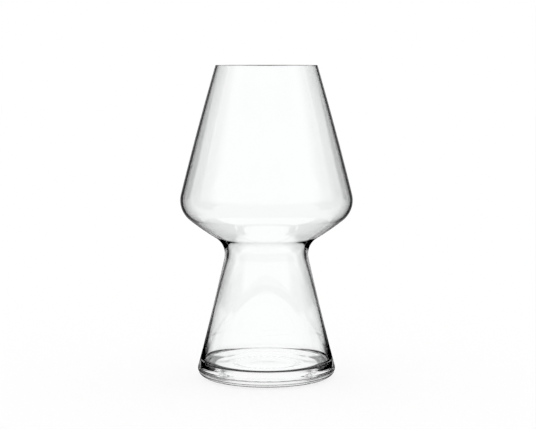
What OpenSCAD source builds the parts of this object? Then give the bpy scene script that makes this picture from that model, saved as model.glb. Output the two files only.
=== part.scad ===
// Tulip beer glass: a tapering bowl over a drawn-in waist and a hollow conical foot.
// Clear blown glass, in millimetres, standing on the plane z = 0 with its axis on Z.
// The section is a chain of rounds joined by long curves, and every joint is tangent.

/* [Bowl] */
// Height from the table to the top of the rim
glass_h = 186; // [170:0.5:215]
// Outside diameter at the rim
rim_d = 60.4; // [50:0.1:72]
// Outside diameter at the belly, the widest place
belly_d = 102.4; // [92:0.1:116]
// Height of the belly above the table
belly_z = 106.2; // [103:0.1:118]
// Section radius of the rounded belly
belly_round = 14.7; // [8:0.1:20]
// Section radius of the long, nearly straight wall above the belly
bowl_curve = 2000; // [900:10:4000]
// Section radius of the bowl's underside, between belly and waist
under_curve = 147; // [90:1:400]

/* [Waist and foot] */
// Outside diameter at the waist, the narrowest place
waist_d = 49.6; // [42:0.1:58]
// Height of the waist above the table
waist_z = 74; // [66:0.1:77]
// Section radius of the drawn-in waist
waist_round = 11.7; // [8:0.1:15]
// Section radius of the long wall of the foot
foot_curve = 1670; // [900:10:4000]
// Outside diameter of the foot, at its widest
foot_d = 82.1; // [74:0.1:92]
// Section radius of the heel, where the wall turns under
heel_round = 4.5; // [3:0.1:6]
// How far the heel turns below level before a wider round takes over, in degrees
heel_turn = 50; // [40:1:65]
// Section radius of that wider round, which rolls on to the table
sole_round = 9; // [7:0.1:12]

/* [Glass thickness] */
// Wall at the rim
rim_wall = 1.1; // [0.8:0.05:2]
// Wall at the belly
belly_wall = 1.3; // [0.9:0.05:2.5]
// Wall at the waist
waist_wall = 2.2; // [1.5:0.05:3.5]
// How much larger the section radius of the waist is inside
waist_in_more = 0.2; // [-0.6:0.1:2.4]
// Section radius of the foot's wall inside, which bulges outward and is thinnest halfway up
foot_in_curve = 700; // [450:10:4000]
// How far the corner inside lies in from the foot's widest place
corner_in = 3.6; // [2.8:0.05:6]
// Solid glass from the table up to the floor inside
base_t = 8.5; // [7:0.1:12]
// Section radius of the corner between floor and wall inside
floor_round = 3; // [2:0.1:6]

/* [Underside] */
// Width of the flat ring that the glass stands on
stand_ring_w = 2; // [1:0.1:5]
// Height of the hollow under the base at its middle
punt_h = 1; // [0.5:0.1:3]
// Number of small dimples moulded in a ring in that hollow
dimple_count = 30; // [12:1:34]
// Diameter of the ring of dimples, through their middles
dimple_ring_d = 38; // [32:0.5:56]
// Diameter of one dimple at its edge
dimple_d = 3; // [1.5:0.1:3.8]
// Depth of one dimple
dimple_depth = 0.4; // [0.2:0.05:0.8]

/* [Parts] */
// Height of the lip, the top band of the wall
lip_h = 4; // [2:0.5:8]

/* [Hidden] */
// Largest turn of a round between two points of the outline
round_step = 3;
// Number of straight steps along a long curve
curve_steps = 12;
// Room added round a cutting shape
spare = 1;
$fn = 128;

// A round is [centre, radius], with the radius below 0 where its centre lies outside the outline.
rim_round = rim_wall / 2;
rim_mid = [rim_d / 2 - rim_round, glass_h - rim_round];
belly_mid = [belly_d / 2 - belly_round, belly_z];
waist_mid = [waist_d / 2 + waist_round, waist_z];
waist_in_round = waist_round + waist_in_more;
waist_in_mid = [waist_d / 2 - waist_wall + waist_in_round, waist_z];
heel_mid = [foot_d / 2 - heel_round, sole_round - (sole_round - heel_round) * sin(heel_turn)];
sole_mid = heel_mid + (sole_round - heel_round) * [-cos(heel_turn), sin(heel_turn)];
corner_mid = [foot_d / 2 - corner_in - floor_round, base_t + floor_round];

outer_rounds = [[rim_mid, rim_round], [belly_mid, belly_round], [waist_mid, -waist_round], [heel_mid, heel_round]];
inner_rounds = [
    [rim_mid, -rim_round],
    [belly_mid, belly_round - belly_wall],
    [waist_in_mid, -waist_in_round],
    [corner_mid, floor_round]
];
outer_curves = [bowl_curve, under_curve, -foot_curve];
inner_curves = [bowl_curve, under_curve - belly_wall, foot_in_curve];

// The centre of a long curve that touches two rounds, the first above the second
function bridge(a, b, radius) =
    let (
        reach_a = abs(radius - a[1]),
        reach_b = abs(radius - b[1]),
        gap = b[0] - a[0],
        span = norm(gap),
        along = (span * span + reach_a * reach_a - reach_b * reach_b) / (2 * span),
        across = sqrt(reach_a * reach_a - along * along),
        ahead = gap / span
    )
    a[0] + along * ahead - sign(radius) * across * [-ahead[1], ahead[0]];

// The angle at which a long curve about centre touches a round
function touch(centre, radius, round) =
    let (way = (round[0] - centre) / (radius - round[1]))
    atan2(way[1], way[0]);

function arc(centre, radius, from, to, steps) = [
    for (i = [0:steps])
        let (a = from + (to - from) * i / steps)
        centre + radius * [cos(a), sin(a)]
];

// Points of an outline from the rim down: each round, then the curve that leads on from it
function outline(rounds, curves, from, to) =
    let (
        centres = [for (i = [0:len(curves) - 1]) bridge(rounds[i], rounds[i + 1], curves[i])],
        leave = [for (i = [0:len(curves) - 1]) touch(centres[i], curves[i], rounds[i])],
        arrive = [for (i = [0:len(curves) - 1]) touch(centres[i], curves[i], rounds[i + 1])],
        starts = concat([from], arrive),
        ends = concat(leave, [to])
    )
    [
        for (i = [0:len(rounds) - 1])
            let (
                turn = abs(ends[i] - starts[i]),
                bend = arc(rounds[i][0], rounds[i][1], starts[i], ends[i], ceil(turn / round_step)),
                run = i < len(curves) ? arc(centres[i], curves[i], leave[i], arrive[i], curve_steps) : []
            )
            each concat(bend, [for (k = [1:len(run) - 2]) run[k]])
    ];

sole_steps = ceil((90 - heel_turn) / round_step);
sole_line = arc(sole_mid, sole_round, -heel_turn, -90, sole_steps);
side_line = outline(outer_rounds, outer_curves, 90, -heel_turn);
outer_line = concat(side_line, [for (i = [1:sole_steps]) sole_line[i]]);
inner_line = outline(inner_rounds, inner_curves, -90, -90);

// The hollow under the base is a shallow dome inside the standing ring.
punt_r = sole_mid[0] - stand_ring_w;
punt_sphere_r = (punt_r * punt_r + punt_h * punt_h) / (2 * punt_h);
punt_line = arc([0, punt_h - punt_sphere_r], punt_sphere_r, acos(punt_r / punt_sphere_r), 90, curve_steps);

// A dimple is part of a sphere, and its depth counts from the dome above the ring's middle.
dimple_ring_r = dimple_ring_d / 2;
dimple_sphere_r = (dimple_d * dimple_d / 4 + dimple_depth * dimple_depth) / (2 * dimple_depth);
punt_z_at_ring = punt_h - punt_sphere_r + sqrt(punt_sphere_r * punt_sphere_r - dimple_ring_r * dimple_ring_r);
dimple_pitch = 360 / dimple_count;

glass_section = concat(
    outer_line,
    punt_line,
    [[0, base_t]],
    [for (i = [len(inner_line) - 1:-1:1]) inner_line[i]]
);

// Heights at which the bands of the glass join, from the table up
foot_centre = bridge(outer_rounds[2], outer_rounds[3], outer_curves[2]);
under_centre = bridge(outer_rounds[1], outer_rounds[2], outer_curves[1]);
waist_low = waist_z - waist_round * sin(touch(foot_centre, outer_curves[2], outer_rounds[2]));
waist_high = waist_z - waist_round * sin(touch(under_centre, outer_curves[1], outer_rounds[2]));
base_top = base_t + floor_round;
lip_low = glass_h - lip_h;

// One band of the glass, between two heights
module glass_band(low, high) {
    rotate_extrude()
        intersection() {
            polygon(glass_section);
            translate([0, low])
                square([belly_d / 2 + spare, high - low]);
        }
}

module rim_lip() {
    color("azure", 0.35) glass_band(lip_low, glass_h + spare);
}

module bowl_wall() {
    color("azure", 0.35) glass_band(belly_z, lip_low);
}

module bowl_underside() {
    color("azure", 0.35) glass_band(waist_high, belly_z);
}

module waist_ring() {
    color("azure", 0.35) glass_band(waist_low, waist_high);
}

module foot_wall() {
    color("azure", 0.35) glass_band(base_top, waist_low);
}

module dimples() {
    for (i = [0:dimple_count - 1])
        rotate((i + 0.5) * dimple_pitch)
            translate([dimple_ring_r, 0, punt_z_at_ring + dimple_depth - dimple_sphere_r])
                sphere(dimple_sphere_r);
}

module base() {
    color("azure", 0.35)
        difference() {
            glass_band(-spare, base_top);
            dimples();
        }
}

rim_lip();
bowl_wall();
bowl_underside();
waist_ring();
foot_wall();
base();
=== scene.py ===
import math

import bmesh
import bpy
from mathutils import Matrix, Vector


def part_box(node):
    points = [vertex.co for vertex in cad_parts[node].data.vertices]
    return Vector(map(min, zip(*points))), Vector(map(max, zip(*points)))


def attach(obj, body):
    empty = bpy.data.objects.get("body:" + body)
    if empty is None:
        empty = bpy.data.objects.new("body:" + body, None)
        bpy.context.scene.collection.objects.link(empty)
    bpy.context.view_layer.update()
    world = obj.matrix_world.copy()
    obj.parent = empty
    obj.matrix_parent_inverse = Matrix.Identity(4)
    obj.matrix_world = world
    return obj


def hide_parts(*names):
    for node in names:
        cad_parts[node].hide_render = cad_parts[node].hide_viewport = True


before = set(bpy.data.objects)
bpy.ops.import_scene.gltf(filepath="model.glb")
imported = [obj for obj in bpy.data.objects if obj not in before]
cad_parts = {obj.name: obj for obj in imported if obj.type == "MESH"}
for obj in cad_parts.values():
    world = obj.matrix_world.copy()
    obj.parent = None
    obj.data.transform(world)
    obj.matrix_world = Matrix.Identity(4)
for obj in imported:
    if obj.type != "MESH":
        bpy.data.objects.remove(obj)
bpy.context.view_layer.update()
scene = bpy.context.scene
scene.view_settings.view_transform = "Standard"
print("frame loaded:", ", ".join(sorted(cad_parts)))


def addMath(tree, operation, first, second=None, third=None):
    node = tree.nodes.new("ShaderNodeMath")
    node.operation = operation
    for socket, value in zip(node.inputs, (first, second, third)):
        if value is None:
            continue
        if isinstance(value, (int, float)):
            socket.default_value = value
        else:
            tree.links.new(value, socket)
    return node.outputs[0]


def addRamp(tree, value, limits, ends):
    node = tree.nodes.new("ShaderNodeMapRange")
    node.interpolation_type = "SMOOTHSTEP"
    node.inputs["From Min"].default_value = limits[0]
    node.inputs["From Max"].default_value = limits[1]
    node.inputs["To Min"].default_value = ends[0]
    node.inputs["To Max"].default_value = ends[1]
    tree.links.new(value, node.inputs["Value"])
    return node.outputs["Result"]


# the glass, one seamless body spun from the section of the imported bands
glassBody = {
    "name": "tulip_glass",
    "bands": ["base", "foot_wall", "waist_ring", "bowl_underside", "bowl_wall", "rim_lip"],  # table upwards
    "flats": 240,  # steps of the spin
    "weld": 0.000002,
    "straight": 0.0005,  # turn in radians under which a point of the section is dropped
}
dimples = {
    "count": 30,
    "ring": 0.019,  # from the axis to the middle of a dimple
    "across": 0.003,
    "depth": 0.0004,
    "below": 0.0016,  # only the hollow under the base lies lower than this
    "around": 0.0045,  # the band on both sides of the ring that gets more points
    "sameRing": 0.00003,  # ends of an edge along the ring differ less than this in radius
    "cuts": 7,  # points added to each step of the hollow in that band
}


def cutSection(body):
    # the bands' meshes are welded, opened at their level joints and cut along one half plane
    bm = bmesh.new()
    for band in body["bands"]:
        bm.from_mesh(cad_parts[band].data)
    weld = body["weld"]
    bmesh.ops.remove_doubles(bm, verts=bm.verts[:], dist=weld)
    jointHeights = [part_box(band)[1].z for band in body["bands"][:-1]]
    jointFaces = []
    for face in bm.faces:
        if any(all(abs(v.co.z - height) < weld for v in face.verts) for height in jointHeights):
            jointFaces.append(face)
    bmesh.ops.delete(bm, geom=jointFaces, context="FACES")
    bmesh.ops.bisect_plane(bm, geom=bm.verts[:] + bm.edges[:] + bm.faces[:], dist=weld / 10,
                           plane_co=(0, 0, 0), plane_no=(1, 0, 0), clear_inner=True)
    bmesh.ops.bisect_plane(bm, geom=bm.verts[:] + bm.edges[:] + bm.faces[:], dist=weld / 10,
                           plane_co=(0, 0, 0), plane_no=(0, 1, 0), clear_inner=True, clear_outer=True)
    bmesh.ops.remove_doubles(bm, verts=bm.verts[:], dist=weld)
    straight = [v for v in bm.verts if len(v.link_edges) == 2 and v.calc_edge_angle(0) < body["straight"]]
    bmesh.ops.dissolve_verts(bm, verts=straight)
    return bm


def nearDimples(point, marks):
    return point.z < marks["below"] and abs(point.xy.length - marks["ring"]) < marks["around"]


def pressDimples(bm, marks):
    around = []
    for edge in bm.edges:
        first, second = (vert.co for vert in edge.verts)
        level = abs(first.xy.length - second.xy.length) < marks["sameRing"]
        if level and nearDimples(first, marks):
            around.append(edge)
    bmesh.ops.subdivide_edges(bm, edges=around, cuts=1, use_grid_fill=True)
    radius = marks["across"] / 2
    ball = (radius * radius + marks["depth"] * marks["depth"]) / (2 * marks["depth"])
    pitch = 2 * math.pi / marks["count"]
    for vert in bm.verts:
        if not nearDimples(vert.co, marks):
            continue
        nearest = (math.floor(math.atan2(vert.co.y, vert.co.x) / pitch) + 0.5) * pitch
        middle = Vector((math.cos(nearest), math.sin(nearest))) * marks["ring"]
        away = (vert.co.xy - middle).length
        if away < radius:
            vert.co.z += math.sqrt(ball * ball - away * away) - (ball - marks["depth"])


def makeGlass(body, marks):
    bm = cutSection(body)
    print("section:", len(bm.verts), "points,", len(bm.edges), "edges,", len(bm.faces), "faces")
    hollow = [edge for edge in bm.edges if all(nearDimples(vert.co, marks) for vert in edge.verts)]
    bmesh.ops.subdivide_edges(bm, edges=hollow, cuts=marks["cuts"])
    bmesh.ops.spin(bm, geom=bm.verts[:] + bm.edges[:], cent=(0, 0, 0), axis=(0, 0, 1), dvec=(0, 0, 0),
                   angle=math.pi / 2, steps=body["flats"] // 4)
    for turn in (math.pi / 2, math.pi):  # a quarter makes the half, and the half the whole
        copy = bmesh.ops.duplicate(bm, geom=bm.verts[:] + bm.edges[:] + bm.faces[:])["geom"]
        bmesh.ops.rotate(bm, verts=[part for part in copy if isinstance(part, bmesh.types.BMVert)],
                         cent=(0, 0, 0), matrix=Matrix.Rotation(turn, 3, "Z"))
    bmesh.ops.remove_doubles(bm, verts=bm.verts[:], dist=body["weld"])
    pressDimples(bm, marks)
    bmesh.ops.recalc_face_normals(bm, faces=bm.faces[:])
    for face in bm.faces:
        face.smooth = True
    openEdges = [edge for edge in bm.edges if len(edge.link_faces) != 2]
    print("glass:", len(bm.verts), "points,", len(bm.faces), "faces,", len(openEdges), "open edges")
    mesh = bpy.data.meshes.new(body["name"])
    bm.to_mesh(mesh)
    bm.free()
    piece = bpy.data.objects.new(body["name"], mesh)
    scene.collection.objects.link(piece)
    return piece


clearGlass = {
    "thin": (0.995, 0.998, 0.998, 1.0),
    "thick": (0.985, 0.993, 0.992, 1.0),  # where the melt is a little greener
    "cloud": 35.0,  # clouds of the melt to a metre
    "cloudDetail": 2.0,
    "wave": 90.0,  # waves of the blown wall to a metre
    "waveDetail": 1.0,
    "swell": 0.000008,  # height of a wave
    "wavy": (0.02, 0.04),  # the pressed base is smooth, and the waves come in between these heights
    "ior": 1.52,
    "roughness": 0.0,
}


def makeClearGlass(finish):
    material = bpy.data.materials.new("clearGlass")
    material.use_nodes = True
    tree = material.node_tree
    nodes = tree.nodes
    links = tree.links
    shader = nodes["Principled BSDF"]
    shader.inputs["Transmission Weight"].default_value = 1.0
    shader.inputs["IOR"].default_value = finish["ior"]
    place = nodes.new("ShaderNodeTexCoord")
    cloud = nodes.new("ShaderNodeTexNoise")
    cloud.inputs["Scale"].default_value = finish["cloud"]
    cloud.inputs["Detail"].default_value = finish["cloudDetail"]
    links.new(place.outputs["Object"], cloud.inputs["Vector"])
    tint = nodes.new("ShaderNodeMix")
    tint.data_type = "RGBA"
    tint.inputs["A"].default_value = finish["thin"]
    tint.inputs["B"].default_value = finish["thick"]
    links.new(cloud.outputs["Fac"], tint.inputs["Factor"])
    links.new(tint.outputs["Result"], shader.inputs["Base Color"])
    wave = nodes.new("ShaderNodeTexNoise")
    wave.inputs["Scale"].default_value = finish["wave"]
    wave.inputs["Detail"].default_value = finish["waveDetail"]
    links.new(place.outputs["Object"], wave.inputs["Vector"])
    level = nodes.new("ShaderNodeSeparateXYZ")
    links.new(place.outputs["Object"], level.inputs["Vector"])
    ripple = nodes.new("ShaderNodeBump")
    ripple.inputs["Distance"].default_value = finish["swell"]
    links.new(addRamp(tree, level.outputs["Z"], finish["wavy"], (0, 1)), ripple.inputs["Strength"])
    links.new(wave.outputs["Fac"], ripple.inputs["Height"])
    links.new(ripple.outputs["Normal"], shader.inputs["Normal"])
    shader.inputs["Roughness"].default_value = finish["roughness"]
    return material


glass = makeGlass(glassBody, dimples)
glass.data.materials.append(makeClearGlass(clearGlass))
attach(glass, "root")
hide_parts(*glassBody["bands"])
print("glass in place")

# the studio: a white dome and floor, with soft dark cards that draw the edges of the glass, and a dark ring
# lying around the base that is a painted contact shadow
photoSide = 225  # azimuth of the camera
studio = {
    "floorSize": 8.0,
    "floorDrop": 0.0002,  # keeps the floor clear of the standing ring
    "shadowShare": 0.2,
    "brightReach": 0.13,  # the floor shines this far out, and beyond it the glass sees the dome
    "patchSide": (0.766, 0.866),  # cosines of the dark patch's width behind the glass
    "patchTop": (-0.345, -0.385),  # heights on the dome where the patch begins
    "mirrorTop": (0.03, 0.33),  # heights on the dome where what the outside of the glass mirrors turns white
    "mirrorFloor": 0.9,  # how bright the floor is in what the outside mirrors
    "mirrorWalls": 0.0,  # and the cards, and the dome below those heights
    "poleGap": 0.0001,  # keeps the dome's division clear of its poles
    "cardSteps": 48,
}
# a card is an edge of (from degrees, to degrees, distance, height) points, swept sideways;
# its shade goes by share of the sweep, from 0 for black to 1 for the white of the dome
nearCard = {
    "edge": [(20, 98, 0.127, 0.036), (17, 98, 0.127, 0.05), (17.5, 98, 0.127, 0.06), (20, 98, 0.127, 0.075),
             (23, 98, 0.127, 0.09), (23.5, 98, 0.127, 0.105), (21, 98, 0.127, 0.13), (19.5, 96, 0.127, 0.15),
             (18, 94, 0.127, 0.165), (16.5, 93, 0.127, 0.18), (15, 92, 0.127, 0.23)],
    "shade": [(0, 1), (0.04, 0.96), (0.08, 0.86), (0.16, 0.45), (0.24, 0.12), (0.32, 0), (0.6, 0), (1, 1)],
}
midCard = {
    "edge": [(14, 70, 0.4, -0.1), (14, 70, 0.4, 0.09)],
    "shade": [(0, 1), (0.08, 0.8), (0.22, 0), (0.85, 0), (1, 1)],
}
underCard = {
    "edge": [(5, 60, 0.28, -0.1), (5, 60, 0.63, -0.1)],
    "shade": [(0, 1), (0.3, 0), (0.85, 0), (1, 1)],
}
# painted contact shadow: a dark ring lying on the floor right around the base, seen only through and in the
# glass, dark from the sides round to the front and clear behind
contactShadowCard = {
    "edge": [(50, 180, 0.0312, 0.0), (50, 180, 0.045, 0.0)],
    "shade": [(0, 1), (0.08, 0), (1, 0)],
}
sideCard = {
    "edge": [(50, 105, 0.047, 0.0), (34, 105, 0.075, 0.0), (26, 105, 0.1, 0.0), (26, 105, 0.127, 0.0)],
    "shade": [(0, 1), (0.15, 0), (0.85, 0), (1, 1)],
}


def mirrorShade(tree, light, shade):
    through = addMath(tree, "SUBTRACT", 1.0, light.outputs["Is Transmission Ray"])
    mirrored = addMath(tree, "MULTIPLY", light.outputs["Is Glossy Ray"], through)
    return addMath(tree, "MULTIPLY_ADD", mirrored, shade - 1.0, 1.0)


def makeFloor(setup):
    bm = bmesh.new()
    bmesh.ops.create_grid(bm, x_segments=1, y_segments=1, size=setup["floorSize"] / 2)
    bmesh.ops.translate(bm, verts=bm.verts[:], vec=(0, 0, -setup["floorDrop"]))
    mesh = bpy.data.meshes.new("floor")
    bm.to_mesh(mesh)
    bm.free()
    floor = bpy.data.objects.new("floor", mesh)
    scene.collection.objects.link(floor)
    material = bpy.data.materials.new("paleFloor")
    material.use_nodes = True
    tree = material.node_tree
    nodes = tree.nodes
    links = tree.links
    nodes.remove(nodes["Principled BSDF"])
    place = nodes.new("ShaderNodeTexCoord")
    reach = nodes.new("ShaderNodeVectorMath")
    reach.operation = "LENGTH"
    links.new(place.outputs["Object"], reach.inputs[0])
    light = nodes.new("ShaderNodeLightPath")
    glow = nodes.new("ShaderNodeEmission")
    matt = nodes.new("ShaderNodeBsdfDiffuse")
    matt.inputs["Color"].default_value = (1, 1, 1, 1)
    clear = nodes.new("ShaderNodeBsdfTransparent")
    shown = nodes.new("ShaderNodeMixShader")
    shadowed = addMath(tree, "MULTIPLY", light.outputs["Is Camera Ray"], setup["shadowShare"])
    links.new(shadowed, shown.inputs["Fac"])
    links.new(glow.outputs["Emission"], shown.inputs[1])
    links.new(matt.outputs["BSDF"], shown.inputs[2])
    links.new(mirrorShade(tree, light, setup["mirrorFloor"]), glow.inputs["Strength"])
    glossy = light.outputs["Is Glossy Ray"]
    throughGlass = addMath(tree, "MAXIMUM", glossy, light.outputs["Is Transmission Ray"])
    farOut = addMath(tree, "GREATER_THAN", reach.outputs["Value"], setup["brightReach"])
    mix = nodes.new("ShaderNodeMixShader")
    links.new(addMath(tree, "MULTIPLY", throughGlass, farOut), mix.inputs["Fac"])
    links.new(shown.outputs["Shader"], mix.inputs[1])
    links.new(clear.outputs["BSDF"], mix.inputs[2])
    links.new(mix.outputs["Shader"], nodes["Material Output"].inputs["Surface"])
    floor.data.materials.append(material)


def makeCardFinish(setup):
    material = bpy.data.materials.new("softCard")
    material.use_nodes = True
    tree = material.node_tree
    tree.nodes.remove(tree.nodes["Principled BSDF"])
    shade = tree.nodes.new("ShaderNodeAttribute")
    shade.attribute_name = "shade"
    glow = tree.nodes.new("ShaderNodeEmission")
    light = tree.nodes.new("ShaderNodeLightPath")
    mirrored = mirrorShade(tree, light, setup["mirrorWalls"])
    tree.links.new(addMath(tree, "MULTIPLY", shade.outputs["Fac"], mirrored), glow.inputs["Strength"])
    tree.links.new(glow.outputs["Emission"], tree.nodes["Material Output"].inputs["Surface"])
    return material


def shadeAt(ramp, share):
    for (startShare, startShade), (endShare, endShade) in zip(ramp, ramp[1:]):
        if share <= endShare:
            part = (share - startShare) / (endShare - startShare)
            smooth = part * part * (3 - 2 * part)
            return startShade + (endShade - startShade) * smooth
    return ramp[-1][1]


def makeCard(name, card, azimuth, side, finish, steps):
    bm = bmesh.new()
    shadeLayer = bm.verts.layers.float.new("shade")
    turnLayer = bm.verts.layers.float.new("turn")
    points = []
    for start, end, distance, height in card["edge"]:
        turn = math.radians(azimuth + side * start)
        point = bm.verts.new((-distance * math.sin(turn), distance * math.cos(turn), height))
        point[shadeLayer] = shadeAt(card["shade"], 0)
        point[turnLayer] = side * math.radians(end - start) / steps
        points.append(point)
    edges = [bm.edges.new(pair) for pair in zip(points, points[1:])]
    for step in range(1, steps + 1):
        swept = bmesh.ops.extrude_edge_only(bm, edges=edges)["geom"]
        edges = [part for part in swept if isinstance(part, bmesh.types.BMEdge)]
        for point in [part for part in swept if isinstance(part, bmesh.types.BMVert)]:
            point.co.rotate(Matrix.Rotation(point[turnLayer], 3, "Z"))
            point[shadeLayer] = shadeAt(card["shade"], step / steps)
    mesh = bpy.data.meshes.new(name)
    bm.to_mesh(mesh)
    bm.free()
    mesh.materials.append(finish)
    piece = bpy.data.objects.new(name, mesh)
    scene.collection.objects.link(piece)
    piece.visible_camera = False
    piece.visible_diffuse = False
    piece.visible_shadow = False


def makeDome(setup):
    world = bpy.data.worlds.new("studio")
    scene.world = world
    world.use_nodes = True
    tree = world.node_tree
    nodes = tree.nodes
    links = tree.links
    backdrop = nodes["Background"]
    backdrop.inputs["Color"].default_value = (1, 1, 1, 1)
    place = nodes.new("ShaderNodeTexCoord")
    parts = nodes.new("ShaderNodeSeparateXYZ")
    links.new(place.outputs["Generated"], parts.inputs["Vector"])
    rear = math.radians(photoSide)
    alongX = addMath(tree, "MULTIPLY", parts.outputs["X"], -math.sin(rear))
    along = addMath(tree, "MULTIPLY_ADD", parts.outputs["Y"], math.cos(rear), alongX)
    square = addMath(tree, "MULTIPLY", parts.outputs["Z"], parts.outputs["Z"])
    flat = addMath(tree, "MAXIMUM", addMath(tree, "SUBTRACT", 1.0, square), setup["poleGap"])
    level = addMath(tree, "SQRT", flat)
    within = addRamp(tree, addMath(tree, "DIVIDE", along, level), setup["patchSide"], (0, 1))
    below = addRamp(tree, addMath(tree, "MULTIPLY", parts.outputs["Z"], -1.0),
                    (-setup["patchTop"][0], -setup["patchTop"][1]), (0, 1))
    light = nodes.new("ShaderNodeLightPath")
    ceiling = addRamp(tree, parts.outputs["Z"], setup["mirrorTop"], (0, 1))
    mirrored = addMath(tree, "MAXIMUM", mirrorShade(tree, light, setup["mirrorWalls"]), ceiling)
    outside = addMath(tree, "SUBTRACT", 1.0, addMath(tree, "MULTIPLY", within, below))
    links.new(addMath(tree, "MULTIPLY", outside, mirrored), backdrop.inputs["Strength"])


makeFloor(studio)
makeDome(studio)
cardFinish = makeCardFinish(studio)
for side in (1, -1):
    makeCard("near_card", nearCard, photoSide, side, cardFinish, studio["cardSteps"])
    makeCard("mid_card", midCard, photoSide, side, cardFinish, studio["cardSteps"])
    makeCard("under_card", underCard, photoSide, side, cardFinish, studio["cardSteps"])
    # the ring lying around the base is a painted contact shadow
    makeCard("contact_shadow_card", contactShadowCard, photoSide, side, cardFinish, studio["cardSteps"])
    makeCard("side_card", sideCard, photoSide, side, cardFinish, studio["cardSteps"])
print("studio in place")

viewpoint = {
    "distance": 0.965,
    "height": 0.191,
    "aside": 0.0009,
    "pitch": 0.0966,
    "lens": 109.45,
}


def makeCamera(setup):
    data = bpy.data.cameras.new("camera")
    data.lens = setup["lens"]
    data.sensor_width = 36
    data.sensor_fit = "HORIZONTAL"
    camera = bpy.data.objects.new("camera", data)
    turn = math.radians(photoSide)
    place = Vector((setup["aside"], -setup["distance"], setup["height"]))
    camera.location = Matrix.Rotation(turn, 3, "Z") @ place
    camera.rotation_euler = (math.pi / 2 - setup["pitch"], 0, turn)
    scene.collection.objects.link(camera)
    scene.camera = camera


makeCamera(viewpoint)
print("camera in place")
